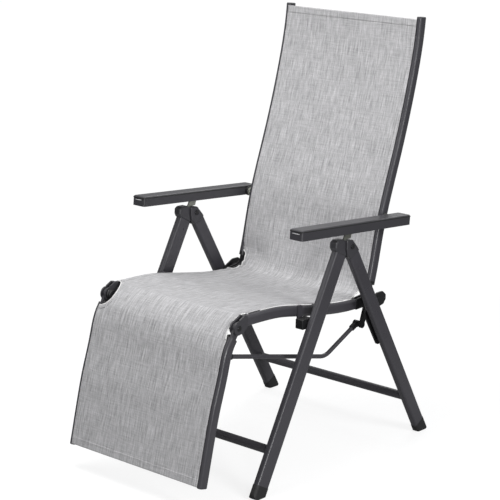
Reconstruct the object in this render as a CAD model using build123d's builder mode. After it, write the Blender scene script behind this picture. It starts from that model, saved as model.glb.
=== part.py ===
from build123d import *
import math
import os

os.makedirs("parts", exist_ok=True)

# Reclining garden armchair: two pairs of legs, a seat, a back, a footrest and two arms.
# X runs from the left side to the right side, Y from the front to the rear, Z up from the floor.
# Side view points are (Y, Z) pairs on the side plane that each piece stands on.

# Lateral planes
rail_x = 231.7
leg_x = 280.0
plate_x = 264.5
rod_x = 213.0

# Tube sections
rail_across = 18.0
rail_deep = 30.0
rail_wall = 1.6
leg_across = 20.0
front_leg_deep = 48.0
rear_leg_deep = 42.0
leg_corner = 7.0
leg_wall = 1.8
leg_cross_diameter = 24.0
rail_cross_diameter = 16.0
cross_wall = 1.5
round_share = 0.495

# Side view of the legs
front_leg_foot = (-288.9, 0.0)
front_top_from_joint = (-43.1, -15.0)
rear_leg_foot = (437.9, 0.0)
rear_top_from_joint = (15.5, -26.0)
leg_joint = (68.5, 612.0)
front_leg_top = (leg_joint[0] + front_top_from_joint[0], leg_joint[1] + front_top_from_joint[1])
rear_leg_top = (leg_joint[0] + rear_top_from_joint[0], leg_joint[1] + rear_top_from_joint[1])
front_cross_at = (-228.9, 114.0)
rear_cross_at = (368.7, 114.6)

# Side view of the rails
back_path = [
    (236.0, 474.0),
    (243.9, 503.0),
    (262.1, 585.2),
    (283.6, 666.8),
    (310.5, 747.0),
    (347.5, 854.0),
    (380.1, 962.0),
    (401.3, 1043.2),
    (415.5, 1110.0),
    (425.1, 1182.5),
]
seat_path = [
    (-291.5, 470.6),
    (-233.5, 469.6),
    (-153.5, 465.0),
    (-92.0, 455.0),
    (1.5, 438.6),
    (79.5, 427.4),
    (161.5, 422.0),
]
footrest_path = [
    (-345.5, 424.0),
    (-360.4, 394.8),
    (-371.0, 357.4),
    (-385.0, 309.0),
    (-402.9, 252.0),
    (-415.0, 205.0),
    (-428.5, 147.0),
    (-447.1, 65.0),
]
seat_cross_front_at = (-198.5, 464.0)
seat_cross_rear_at = (103.5, 421.5)
back_cross_low_at = (254.0, 547.0)
back_cross_top_at = (422.5, 1161.0)
footrest_cross_at = (-437.5, 107.0)

# Hinges in the side view
seat_hinge = (223.5, 430.0)
knee_hinge = (-324.5, 458.0)
arm_hinge = (278.5, 646.0)
latch_at = (63.5, 661.0)
crank_end = (202.0, 355.0)
seat_rest = (-86.5, 425.0)
rod_front = (
    knee_hinge[0] + crank_end[0] - seat_hinge[0],
    knee_hinge[1] + crank_end[1] - seat_hinge[1],
)

# Running fits and hidden fits
pin_fit = 0.05
plug_fit = 0.4
side_gap = 0.3

# Levels across the chair that several pieces share
leg_inner = leg_x - leg_across / 2
rail_inner = rail_x - rail_across / 2
rail_outer = rail_x + rail_across / 2


def at_x(points, x):
    return [(x, point[0], point[1]) for point in points]


def lean(low, high):
    length = math.hypot(high[0] - low[0], high[1] - low[1])
    return (0, (high[0] - low[0]) / length, (high[1] - low[1]) / length)


def side_sign(side):
    return 1 if side == "right" else -1


def side_plane(x):
    return Plane(origin=(x, 0, 0), x_dir=(0, 1, 0), z_dir=(1, 0, 0))


def save(piece, name):
    piece.label = name
    export_step(piece, "parts/" + name + ".step")


def side_piece(x_from, x_to, outline, corner, bosses=(), holes=(), edge=0):
    with BuildPart() as piece:
        with BuildSketch(side_plane(x_from)) as profile:
            if outline:
                with BuildLine():
                    Polyline(*outline, close=True)
                make_face()
                fillet(profile.vertices(), corner)
            for center, radius in bosses:
                with Locations(center):
                    Circle(radius)
            for center, radius in holes:
                with Locations(center):
                    Circle(radius, mode=Mode.SUBTRACT)
        extrude(amount=x_to - x_from)
        if edge:
            chamfer(piece.faces().filter_by(Axis.X).edges(), edge)
    return piece.part


def both_sides(steps, name):
    with BuildPart() as pair:
        for piece, mode in steps:
            add(piece, mode=mode)
        mirror(about=Plane.YZ)
    save(pair.part, name)


def pin_piece(center, radius, x_from, x_to, head, head_height, edge):
    with BuildPart() as pin:
        with BuildSketch(side_plane(x_from - head_height)):
            with Locations(center):
                Circle(radius)
        extrude(amount=x_to - x_from + 2 * head_height)
        for start in (x_from - head_height, x_to):
            with BuildSketch(side_plane(start)):
                with Locations(center):
                    Circle(head)
            extrude(amount=head_height)
        chamfer(pin.edges().filter_by(GeomType.CIRCLE).group_by(SortBy.RADIUS)[-1], edge)
    return pin.part


# Legs
foot_lift = 8.0


def leg_start(foot, top, deep):
    along = lean(foot, top)
    return (foot_lift + deep / 2 * abs(along[1])) / along[2]


def leg_tube(side, foot, top, deep):
    x = side_sign(side) * leg_x
    along = lean(foot, top)
    start = leg_start(foot, top, deep)
    length = math.hypot(top[0] - foot[0], top[1] - foot[1])
    origin = (x, foot[0] + start * along[1], start * along[2])
    with BuildPart() as tube:
        with BuildSketch(Plane(origin=origin, x_dir=(1, 0, 0), z_dir=along)):
            RectangleRounded(leg_across, deep, leg_corner)
            RectangleRounded(
                leg_across - 2 * leg_wall, deep - 2 * leg_wall, leg_corner - leg_wall, mode=Mode.SUBTRACT
            )
        extrude(amount=length - start)
    return tube.part


for side in ("left", "right"):
    save(leg_tube(side, front_leg_foot, front_leg_top, front_leg_deep), "front_leg_" + side)
    save(leg_tube(side, rear_leg_foot, rear_leg_top, rear_leg_deep), "rear_leg_" + side)

# Rubber feet
foot_wall = 1.0
foot_height = 12.0
foot_depth = 30.0
front_foot_corner = 13.0
rear_foot_corner = 8.0


def leg_feet(foot, top, deep, corner, name):
    along = lean(foot, top)
    start = leg_start(foot, top, deep)
    half = deep / 2 + foot_wall
    outline = []
    for way, height in ((-1, 2 * foot_depth), (-1, 0), (1, 0), (1, 2 * foot_depth)):
        outline.append((foot[0] + way * half / along[2] + height * along[1] / along[2], height))
    low = (leg_x, foot[0] - foot_depth * along[1], -foot_depth * along[2])
    seat = (leg_x, foot[0] + start * along[1], start * along[2])
    with BuildPart() as feet:
        with BuildSketch(Plane(origin=low, x_dir=(1, 0, 0), z_dir=along)):
            RectangleRounded(leg_across + 2 * foot_wall, deep + 2 * foot_wall, leg_corner + foot_wall)
        extrude(amount=foot_depth + start + foot_height)
        add(
            side_piece(leg_inner - foot_wall, leg_inner + leg_across + foot_wall, outline, corner),
            mode=Mode.INTERSECT,
        )
        with BuildSketch(Plane(origin=seat, x_dir=(1, 0, 0), z_dir=along)):
            RectangleRounded(leg_across, deep, leg_corner)
        extrude(amount=foot_depth + foot_height, mode=Mode.SUBTRACT)
        mirror(about=Plane.YZ)
    save(feet.part, name)


leg_feet(front_leg_foot, front_leg_top, front_leg_deep, front_foot_corner, "front_feet")
leg_feet(rear_leg_foot, rear_leg_top, rear_leg_deep, rear_foot_corner, "rear_feet")

# Round tubes from side to side


def cross_tube(spot, diameter, half, name):
    with BuildPart() as tube:
        with BuildSketch(side_plane(0)):
            with Locations(spot):
                Circle(diameter / 2)
                Circle(diameter / 2 - cross_wall, mode=Mode.SUBTRACT)
        extrude(amount=half, both=True)
    save(tube.part, name)


cross_tube(front_cross_at, leg_cross_diameter, leg_inner, "front_cross_tube")
cross_tube(rear_cross_at, leg_cross_diameter, leg_inner, "rear_cross_tube")
cross_tube(seat_cross_front_at, rail_cross_diameter, rail_inner, "seat_cross_front")
cross_tube(seat_cross_rear_at, rail_cross_diameter, rail_inner, "seat_cross_rear")
cross_tube(back_cross_low_at, rail_cross_diameter, rail_inner, "back_cross_low")
cross_tube(back_cross_top_at, rail_cross_diameter, rail_inner, "back_cross_top")
cross_tube(footrest_cross_at, rail_cross_diameter, rail_inner, "footrest_cross")

# Corner castings on top of the legs
casting_half = 12.0
casting_corner = 4.0
casting_edge = 2.5
tongue_half = 6.0
tongue_corner = 1.2
tongue_boss = 17.0
slot_boss = 22.0
joint_pin = 4.0
joint_head = 7.5
joint_head_height = 2.5
pin_edge = 0.6
front_casting = [
    (3.3, 608.6), (-1.5, 618.0), (-0.5, 632.0), (8.5, 637.5), (33.5, 637.0), (37.5, 612.0), (47.5, 585.4),
]
tongue_outline = [
    (13.5, 606.0), (13.5, 632.0), (27.5, 635.5), (51.5, 629.0), (71.5, 627.0), (61.5, 598.0), (47.5, 588.4),
]
rear_casting = [
    (66.1, 575.2), (50.0, 590.5), (46.5, 606.0), (46.5, 631.0), (71.5, 629.0), (88.5, 612.0), (101.9, 596.8),
]
slot_outline = [(30.0, 575.0), (30.0, 650.0), (90.0, 650.0), (90.0, 612.0), (68.5, 590.0), (58.0, 583.0)]
latch_half = 2.0
latch_boss = 8.0
latch_pin = 4.0
latch_pin_half = 16.5
latch_corner = 2.0
latch_outline = [
    (25.5, 606.0), (43.5, 606.0), (53.5, 632.0), (72.5, 632.0), (77.5, 650.0), (70.5, 662.0),
    (56.5, 662.0), (50.5, 650.0), (43.5, 636.0), (27.5, 622.0),
]

casting_from = leg_x - casting_half
casting_to = leg_x + casting_half
tongue_from = leg_x - tongue_half
tongue_to = leg_x + tongue_half
front_block = side_piece(casting_from, casting_to, front_casting, casting_corner, edge=casting_edge)
front_tongue = side_piece(
    tongue_from, tongue_to, tongue_outline, tongue_corner, [(leg_joint, tongue_boss)]
)
joint_hole = side_piece(0, 2 * leg_x, [], 0, [(leg_joint, joint_pin + pin_fit)])
latch_plate = side_piece(
    leg_x - latch_half, leg_x + latch_half, latch_outline, latch_corner, [(latch_at, latch_boss)],
    [(latch_at, latch_pin)],
)
both_sides(
    [(front_block, Mode.ADD), (front_tongue, Mode.ADD), (joint_hole, Mode.SUBTRACT),
     (latch_plate, Mode.SUBTRACT)],
    "leg_top_front",
)
rear_block = side_piece(casting_from, casting_to, rear_casting, casting_corner, edge=casting_edge)
rear_slot = side_piece(
    tongue_from - pin_fit, tongue_to + pin_fit, slot_outline, tongue_corner, [(leg_joint, slot_boss)]
)
both_sides(
    [(rear_block, Mode.ADD), (rear_slot, Mode.SUBTRACT), (joint_hole, Mode.SUBTRACT),
     (latch_plate, Mode.SUBTRACT)],
    "leg_top_rear",
)
both_sides(
    [(pin_piece(leg_joint, joint_pin, casting_from, casting_to, joint_head, joint_head_height, pin_edge),
      Mode.ADD)],
    "leg_joint_bolts",
)
both_sides([(latch_plate, Mode.ADD)], "latch_plates")
both_sides(
    [(side_piece(leg_x - latch_pin_half, leg_x + latch_pin_half, [], 0, [(latch_at, latch_pin)],
                 edge=pin_edge), Mode.ADD)],
    "latch_pins",
)

# Rails of the seat, the back and the footrest
arm_pin = 5.0
cap_edge = 3.0
back_cap_length = 5.0
footrest_cap_length = 5.0


def rail(side, points, name, holes=()):
    x = side_sign(side) * rail_x
    with BuildPart() as tube:
        with BuildLine() as path:
            Spline(*at_x(points, x))
        with BuildSketch(Plane(origin=path.line @ 0, x_dir=(1, 0, 0), z_dir=path.line % 0)):
            RectangleRounded(rail_across, rail_deep, rail_across * round_share)
            RectangleRounded(
                rail_across - 2 * rail_wall, rail_deep - 2 * rail_wall,
                (rail_across - 2 * rail_wall) * round_share, mode=Mode.SUBTRACT,
            )
        sweep()
        for center, radius in holes:
            with BuildSketch(side_plane(x - rail_across)):
                with Locations(center):
                    Circle(radius)
            extrude(amount=2 * rail_across, mode=Mode.SUBTRACT)
    save(tube.part, name + side)


def rail_cap(points, length, name):
    with BuildPart() as cap:
        with BuildLine() as path:
            Spline(*at_x(points, rail_x))
        along = path.line % 1
        with BuildSketch(Plane(origin=path.line @ 1, x_dir=(1, 0, 0), z_dir=along)):
            RectangleRounded(rail_across, rail_deep, rail_across * round_share)
        extrude(amount=length)
        fillet(cap.faces().sort_by(Axis((0, 0, 0), along))[-1].edges(), cap_edge)
        mirror(about=Plane.YZ)
    save(cap.part, name)


for side in ("left", "right"):
    rail(side, seat_path, "seat_rail_")
    rail(side, back_path, "back_rail_", [(arm_hinge, arm_pin)])
    rail(side, footrest_path, "footrest_rail_")
rail_cap(back_path, back_cap_length, "back_caps")
rail_cap(footrest_path, footrest_cap_length, "footrest_caps")

# Hinge fittings between the rails
cheek = 4.5
lug_half = 4.0
hinge_pin = 5.0
hinge_boss = 16.5
lug_boss = 14.0
knee_boss = 18.0
fitting_corner = 3.0
fitting_edge = 0.8
pin_head = 7.5
pin_head_height = 2.0
collar = 10.0
plug_depth = 9.0
crank_corner = 4.0
crank_boss = 9.5
rod_pin = 3.5
seat_rear_outline = [
    (161.8, 407.0), (196.5, 408.5), (231.5, 415.0), (231.5, 445.0), (196.5, 440.0), (161.8, 436.6),
]
seat_rear_slot = [(164.5, 390.0), (251.5, 390.0), (251.5, 460.0), (164.5, 460.0)]
seat_front_outline = [
    (-291.8, 485.3), (-303.5, 487.5), (-321.5, 478.5), (-326.5, 441.0), (-308.5, 442.0), (-291.8, 455.7),
]
seat_front_slot = [(-305.5, 500.0), (-348.5, 500.0), (-348.5, 430.0), (-305.5, 430.0)]
crank_outline = [
    (195.0, 360.0), (215.5, 424.0), (219.5, 440.0), (225.5, 478.0), (243.5, 474.0), (232.5, 428.0),
    (209.0, 352.0),
]
lug_outline = [(-316.5, 466.0), (-312.5, 452.0), (-336.5, 422.0), (-350.5, 430.0), (-334.5, 464.0)]
cheek_from = rail_inner + cheek
cheek_to = rail_outer - cheek
lug_from = rail_x - lug_half
lug_to = rail_x + lug_half


def collar_piece(points):
    inner_across = rail_across - 2 * rail_wall - 2 * plug_fit
    with BuildPart() as end:
        with BuildLine() as path:
            Spline(*at_x(points, rail_x))
        plane = Plane(origin=path.line @ 0, x_dir=(1, 0, 0), z_dir=-(path.line % 0))
        with BuildSketch(plane):
            RectangleRounded(rail_across, rail_deep, rail_across * round_share)
        extrude(amount=collar)
        with BuildSketch(plane):
            RectangleRounded(
                inner_across, rail_deep - 2 * rail_wall - 2 * plug_fit, inner_across * round_share
            )
        extrude(amount=-plug_depth)
    return end.part


seat_hinge_hole = side_piece(0, 2 * leg_x, [], 0, [(seat_hinge, hinge_pin + pin_fit)])
knee_hole = side_piece(0, 2 * leg_x, [], 0, [(knee_hinge, hinge_pin + pin_fit)])
both_sides(
    [(side_piece(rail_inner, rail_outer, seat_rear_outline, fitting_corner, [(seat_hinge, hinge_boss)],
                 edge=fitting_edge), Mode.ADD),
     (side_piece(cheek_from, cheek_to, seat_rear_slot, fitting_edge), Mode.SUBTRACT),
     (seat_hinge_hole, Mode.SUBTRACT)],
    "seat_rear_fittings",
)
both_sides(
    [(side_piece(rail_inner, rail_outer, seat_front_outline, fitting_corner, [(knee_hinge, knee_boss)]),
      Mode.ADD),
     (side_piece(cheek_from, cheek_to, seat_front_slot, fitting_edge), Mode.SUBTRACT),
     (knee_hole, Mode.SUBTRACT)],
    "seat_front_fittings",
)
crank = side_piece(
    lug_from, lug_to, crank_outline, crank_corner, [(seat_hinge, lug_boss), (crank_end, crank_boss)],
    [(crank_end, rod_pin)],
)
both_sides(
    [(crank, Mode.ADD), (collar_piece(back_path), Mode.ADD), (seat_hinge_hole, Mode.SUBTRACT)],
    "back_cranks",
)
lug = side_piece(lug_from, lug_to, lug_outline, fitting_corner, [(knee_hinge, lug_boss)])
both_sides(
    [(lug, Mode.ADD), (collar_piece(footrest_path), Mode.ADD), (knee_hole, Mode.SUBTRACT)],
    "footrest_lugs",
)
both_sides(
    [(pin_piece(knee_hinge, hinge_pin, rail_inner, rail_outer, pin_head, pin_head_height, pin_edge),
      Mode.ADD)],
    "knee_pins",
)

# Plates on the rear legs that carry the seat hinges
plate_half = 2.5
plate_corner = 5.0
plate_bolt = 4.0
plate_low_boss = 12.0
plate_low = (235.5, 311.0)
plate_high = (197.5, 394.0)
spacer = 8.0
plate_outline = [
    (225.3, 304.6), (175.5, 384.0), (169.5, 400.0), (175.5, 416.0), (196.5, 436.0), (223.5, 449.0),
    (247.5, 449.0), (261.5, 437.0), (261.5, 424.0), (251.5, 412.0), (229.5, 408.0), (213.5, 402.0),
    (203.5, 390.0), (245.7, 317.4),
]
plate_from = plate_x - plate_half
plate_to = plate_x + plate_half
plate_holes = [(plate_low, plate_bolt), (plate_high, plate_bolt), (seat_hinge, hinge_pin)]
both_sides(
    [(side_piece(plate_from, plate_to, plate_outline, plate_corner, [(plate_low, plate_low_boss)],
                 plate_holes), Mode.ADD)],
    "hinge_plates",
)
both_sides(
    [(side_piece(plate_to, leg_inner, [], 0, [(spot, spacer)], [(spot, plate_bolt)]), Mode.ADD)
     for spot in (plate_low, plate_high)],
    "plate_spacers",
)
both_sides(
    [(side_piece(plate_from, leg_inner, [], 0, [(spot, plate_bolt)]), Mode.ADD)
     for spot in (plate_low, plate_high)]
    + [(side_piece(plate_from - pin_head_height, plate_from, [], 0, [(spot, pin_head)], edge=pin_edge),
        Mode.ADD) for spot in (plate_low, plate_high)],
    "plate_bolts",
)
both_sides(
    [(pin_piece(seat_hinge, hinge_pin, rail_inner, plate_to, pin_head, pin_head_height, pin_edge),
      Mode.ADD)],
    "seat_hinge_pins",
)
both_sides(
    [(side_piece(rail_outer, plate_from, [], 0, [(seat_hinge, spacer)],
                 [(seat_hinge, hinge_pin)]), Mode.ADD)],
    "seat_hinge_sleeves",
)

# Brackets that rest the front of the seat on the front legs
bracket_thick = 5.0
bracket_boss = 11.0
bracket_corner = 3.0
bracket_outline = [(-95.5, 474.0), (-78.5, 471.0), (-76.5, 428.0), (-96.5, 428.0)]
block_outline = [(-106.5, 413.0), (-66.5, 413.0), (-66.5, 440.0), (-106.5, 440.0)]
rest_bolt = 4.0
rest_plate_to = rail_outer + bracket_thick
both_sides(
    [(side_piece(rail_outer, rest_plate_to, bracket_outline, bracket_corner,
                 [(seat_rest, bracket_boss)], [(seat_rest, rest_bolt)]), Mode.ADD)],
    "seat_brackets",
)
both_sides(
    [(side_piece(rest_plate_to, leg_inner, block_outline, bracket_corner, [],
                 [(seat_rest, rest_bolt)], edge=fitting_edge), Mode.ADD)],
    "seat_rest_blocks",
)
both_sides(
    [(side_piece(rail_outer, leg_inner, [], 0, [(seat_rest, rest_bolt)]), Mode.ADD),
     (side_piece(rail_outer - pin_head_height, rail_outer, [], 0, [(seat_rest, pin_head)],
                 edge=pin_edge), Mode.ADD)],
    "seat_rest_bolts",
)

# Rods from the back to the footrest
rod_radius = 6.0
rod_wall = 1.2
rod_bend = 60.0
rod_low = (65.5, 290.0)
rod_head_half = 6.5
rod_head_boss = 9.5
rod_head_length = 24.0
rod_head_across = 13.0
rod_head_deep = 15.0
rod_head_corner = 3.0
rod_head_from = rod_x - rod_head_half
rod_head_to = rod_x + rod_head_half
rod_pin_head = 6.0
ear_outline = [(-358.5, 366.0), (-342.5, 374.0), (-341.5, 390.0), (-353.5, 408.0), (-368.5, 396.0)]
ear_corner = 4.0
for side in ("left", "right"):
    x = side_sign(side) * rod_x
    with BuildPart() as rod:
        with BuildLine() as path:
            FilletPolyline(*at_x([rod_front, rod_low, crank_end], x), radius=rod_bend)
        with BuildSketch(Plane(origin=path.line @ 0, x_dir=(1, 0, 0), z_dir=path.line % 0)):
            Circle(rod_radius)
            Circle(rod_radius - rod_wall, mode=Mode.SUBTRACT)
        sweep()
        for center in (rod_front, crank_end):
            with BuildSketch(side_plane(x - rod_head_half)):
                with Locations(center):
                    Circle(rod_head_boss)
            extrude(amount=rod_head_across, mode=Mode.SUBTRACT)
    save(rod.part, "rod_" + side)


def rod_head(center, toward):
    along = lean(center, toward)
    with BuildPart() as end:
        with BuildSketch(Plane(origin=(rod_x, center[0], center[1]), x_dir=(1, 0, 0), z_dir=along)):
            RectangleRounded(rod_head_across, rod_head_deep, rod_head_corner)
        extrude(amount=rod_head_length)
        with BuildSketch(side_plane(rod_head_from)):
            with Locations(center):
                Circle(rod_head_boss)
        extrude(amount=rod_head_across)
        with BuildSketch(Plane(origin=(rod_x, center[0], center[1]), x_dir=(1, 0, 0), z_dir=along)):
            Circle(rod_radius)
        extrude(amount=rod_head_length, mode=Mode.SUBTRACT)
        with BuildSketch(side_plane(rod_head_from)):
            with Locations(center):
                Circle(rod_head_boss)
        extrude(amount=rod_head_across)
        with BuildSketch(side_plane(rod_head_from)):
            with Locations(center):
                Circle(rod_pin + pin_fit)
        extrude(amount=rod_head_across, mode=Mode.SUBTRACT)
    return end.part


both_sides([(rod_head(rod_front, rod_low), Mode.ADD), (rod_head(crank_end, rod_low), Mode.ADD)], "rod_heads")
ear_from = rod_head_to + side_gap
both_sides(
    [(side_piece(ear_from, rail_inner, ear_outline, ear_corner, [(rod_front, rod_head_boss)],
                 [(rod_front, rod_pin)]), Mode.ADD)],
    "footrest_ears",
)
for center, x_to, name in ((rod_front, rail_inner, "rod_pins_front"), (crank_end, lug_to, "rod_pins_rear")):
    pin_from = rod_head_from - side_gap
    both_sides(
        [(side_piece(pin_from, x_to, [], 0, [(center, rod_pin)]), Mode.ADD),
         (side_piece(pin_from - pin_head_height, pin_from, [], 0, [(center, rod_pin_head)],
                     edge=pin_edge), Mode.ADD)],
        name,
    )

# Hinges of the arms on the back rails
arm_boss = 13.0
bush_length = 7.0
arm_across = 45.0
arm_wall = 3.0
arm_from = leg_x - arm_across / 2
arm_to = leg_x + arm_across / 2
bush_to = rail_outer + bush_length
pin_to = arm_from + 14.0
sleeve = 8.5
arm_hole = side_piece(0, 2 * leg_x, [], 0, [(arm_hinge, arm_pin + pin_fit)])
both_sides(
    [(side_piece(rail_inner, pin_to, [], 0, [(arm_hinge, arm_pin)], edge=pin_edge), Mode.ADD),
     (side_piece(rail_outer, bush_to, [], 0, [(arm_hinge, arm_boss)], edge=fitting_edge), Mode.ADD)],
    "arm_pins",
)
both_sides(
    [(side_piece(bush_to + side_gap, arm_from - side_gap, [], 0, [(arm_hinge, arm_boss)],
                 edge=fitting_edge), Mode.ADD),
     (side_piece(arm_from - side_gap, pin_to, [], 0, [(arm_hinge, sleeve)]), Mode.ADD),
     (arm_hole, Mode.SUBTRACT)],
    "arm_hinge_blocks",
)

# Arms: an open channel with a rack inside that rests on the latch pin
arm_front = 437.0
arm_rear = 37.0
arm_low = -11.0
arm_seam = 12.0
arm_crown = 16.5
arm_corner = 7.0
crown_edge = 3.5
crown_inset = 0.8
rack_thick = 7.0
inner_boss = 13.0
notch_radius = 4.3
notch_count = 7
notch_first = 215.5
notch_last = 370.6
rack_outline = [
    (-209.0, 9.0), (-209.0, -3.0), (-212.0, -3.0), (-212.0, 4.6), (-222.0, 4.6), (-242.0, 2.4),
    (-258.0, 1.2), (-276.0, 0.3), (-294.0, -0.2), (-312.0, 0.3), (-330.0, 1.2), (-348.0, 2.7),
    (-364.0, 4.6), (-374.9, 4.6), (-374.9, -3.0), (-379.0, -3.0), (-379.0, 9.0),
]
arm_line = lean(latch_at, arm_hinge)
arm_frame = Plane(
    origin=(0, arm_hinge[0], arm_hinge[1]), x_dir=arm_line, z_dir=(1, 0, 0)
)
arm_up = (0, -arm_line[2], arm_line[1])


def arm_level(x, height):
    origin = (x, arm_hinge[0] + arm_up[1] * height, arm_hinge[1] + arm_up[2] * height)
    return Plane(origin=origin, x_dir=arm_line, z_dir=arm_up)


arm_middle = (arm_rear - arm_front) / 2
arm_length = arm_rear + arm_front
for side in ("left", "right"):
    sign = side_sign(side)
    x = sign * leg_x
    inner_from = arm_from if side == "right" else -arm_from - arm_wall
    with BuildPart() as arm:
        with BuildSketch(arm_level(x, arm_low)):
            with Locations((arm_middle, 0)):
                RectangleRounded(arm_length, arm_across, arm_corner)
        extrude(amount=arm_seam - arm_low)
        with BuildSketch(arm_level(x, arm_low)):
            with Locations((arm_middle, 0)):
                RectangleRounded(
                    arm_length - 2 * arm_wall, arm_across - 2 * arm_wall, arm_corner - arm_wall
                )
        extrude(amount=arm_seam - arm_low - arm_wall, mode=Mode.SUBTRACT)
        with BuildSketch(side_plane(min(sign * arm_from, sign * pin_to))):
            with Locations(arm_hinge):
                Circle(arm_low * -1)
        extrude(amount=pin_to - arm_from)
        with BuildSketch(side_plane(min(sign * rail_outer, sign * (pin_to + arm_wall)))):
            with Locations(arm_hinge):
                Circle(sleeve + pin_fit)
        extrude(amount=pin_to + arm_wall - rail_outer, mode=Mode.SUBTRACT)
    save(arm.part, "arm_" + side)
    with BuildPart() as crown:
        with BuildSketch(arm_level(x, arm_seam)):
            with Locations((arm_middle, 0)):
                RectangleRounded(
                    arm_length - 2 * crown_inset, arm_across - 2 * crown_inset, arm_corner - crown_inset
                )
        extrude(amount=arm_crown - arm_seam)
        fillet(crown.faces().sort_by(Axis((0, 0, 0), arm_up))[-1].edges(), crown_edge)
    save(crown.part, "arm_crown_" + side)

rack_low = arm_from + arm_wall
rack_high = arm_to - arm_wall
with BuildPart() as racks:
    for start in (rack_low, rack_high - rack_thick):
        with BuildSketch(arm_frame.offset(start)):
            with BuildLine():
                Polyline(*rack_outline, close=True)
            make_face()
            for index in range(notch_count):
                along = notch_first + (notch_last - notch_first) * index / (notch_count - 1)
                with Locations((-along, 0)):
                    Circle(notch_radius, mode=Mode.SUBTRACT)
        extrude(amount=rack_thick)
save(racks.part, "arm_rack_right")
with BuildPart() as other_racks:
    mirror(racks.part, about=Plane.YZ)
save(other_racks.part, "arm_rack_left")

# Fabric panels, each as long as its rails
cloth_thick = 1.6
cloth_gap = 0.3
cloth_inset = 0.7
knee_cut_radius = 41.0
knee_cut_depth = 26.0
hinge_cut_radius = 56.0
hinge_cut_depth = 20.0
cloth_half = rail_x - cloth_inset
back_cloth = [
    (232.5, 462.0), (243.9, 503.0), (262.1, 585.2), (283.6, 666.8), (310.5, 747.0), (347.5, 854.0),
    (380.1, 962.0), (401.3, 1043.2), (415.5, 1110.0), (424.5, 1178.5),
]
seat_cloth = [
    (-312.0, 447.0), (-299.0, 464.0), (-291.5, 470.9), (-272.5, 470.9), (-233.5, 469.6), (-153.5, 465.0), (-92.0, 455.0), (1.5, 438.6),
    (79.5, 427.4), (161.5, 422.0), (196.5, 421.0),
]
footrest_cloth = [
    (-447.6, 63.0), (-428.5, 147.0), (-415.0, 205.0), (-402.9, 252.0), (-385.0, 309.0), (-371.0, 357.4),
    (-360.4, 394.8), (-347.0, 423.2), (-334.0, 431.5), (-320.5, 441.5),
]


def raised(points, distance):
    moved = []
    for index, point in enumerate(points):
        before = points[max(index - 1, 0)]
        after = points[min(index + 1, len(points) - 1)]
        along = lean(before, after)
        moved.append((point[0] - along[2] * distance, point[1] + along[1] * distance))
    return moved


def cloth(points, cuts, name):
    near = raised(points, rail_deep / 2 + cloth_gap)
    far = raised(points, rail_deep / 2 + cloth_gap + cloth_thick)
    with BuildPart() as panel:
        with BuildSketch(side_plane(0)):
            with BuildLine():
                Spline(*near)
                Line(near[-1], far[-1])
                Spline(*far)
                Line(far[0], near[0])
            make_face()
        extrude(amount=cloth_half, both=True)
        for center, radius, start in cuts:
            for low in (start, -cloth_half):
                with BuildSketch(side_plane(low)):
                    with Locations(center):
                        Circle(radius)
                extrude(amount=cloth_half - start, mode=Mode.SUBTRACT)
    save(panel.part, name)


knee_cut = (knee_hinge, knee_cut_radius, cloth_half - knee_cut_depth)
hinge_cut = (seat_hinge, hinge_cut_radius, cloth_half - hinge_cut_depth)
cloth(back_cloth, [hinge_cut], "back_sling")
cloth(seat_cloth, [knee_cut, hinge_cut], "seat_sling")
cloth(footrest_cloth, [knee_cut], "footrest_sling")
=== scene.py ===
import math

import bpy
import numpy as np
from mathutils import Matrix, Vector


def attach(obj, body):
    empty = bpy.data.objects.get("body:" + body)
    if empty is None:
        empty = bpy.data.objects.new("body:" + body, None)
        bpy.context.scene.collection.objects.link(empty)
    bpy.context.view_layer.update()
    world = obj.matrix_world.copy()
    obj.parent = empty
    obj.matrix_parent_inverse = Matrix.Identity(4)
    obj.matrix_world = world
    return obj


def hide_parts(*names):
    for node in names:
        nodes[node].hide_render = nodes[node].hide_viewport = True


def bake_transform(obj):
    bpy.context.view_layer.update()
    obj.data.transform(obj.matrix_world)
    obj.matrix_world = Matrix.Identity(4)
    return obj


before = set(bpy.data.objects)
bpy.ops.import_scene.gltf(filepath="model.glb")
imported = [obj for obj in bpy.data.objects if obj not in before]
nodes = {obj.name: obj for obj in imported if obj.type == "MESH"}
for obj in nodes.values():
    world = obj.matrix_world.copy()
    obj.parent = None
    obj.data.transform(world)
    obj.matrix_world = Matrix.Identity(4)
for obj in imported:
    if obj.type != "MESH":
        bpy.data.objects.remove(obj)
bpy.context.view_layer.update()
scene = bpy.context.scene

# Side view of the rails, in metres: (y, z) pairs from the floor end of the footrest to the back's top
FOOTREST = [(-0.4476, 0.0627), (-0.4285, 0.147), (-0.415, 0.205), (-0.4029, 0.252), (-0.385, 0.309),
            (-0.371, 0.3574), (-0.3604, 0.3948), (-0.3475, 0.423)]
SEAT = [(-0.2935, 0.4706), (-0.2335, 0.4696), (-0.1535, 0.465), (-0.092, 0.455), (0.0015, 0.4386),
        (0.0795, 0.4274), (0.1615, 0.422)]
BACK = [(0.236, 0.474), (0.2439, 0.503), (0.2621, 0.5852), (0.2836, 0.6668), (0.3105, 0.747),
        (0.3475, 0.854), (0.3801, 0.962), (0.4013, 1.0432), (0.4155, 1.11), (0.4248, 1.181)]
KNEE = (-0.3245, 0.458)      # the footrest's hinge, as (y, z)
LEG_X = 0.280                # middle of a leg and of the arm over it
HALF = 0.2280          # half width of the cloth between the rails, set by the photograph's edges
LIFT = 0.0153          # cloth above the rails' centre line


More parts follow.
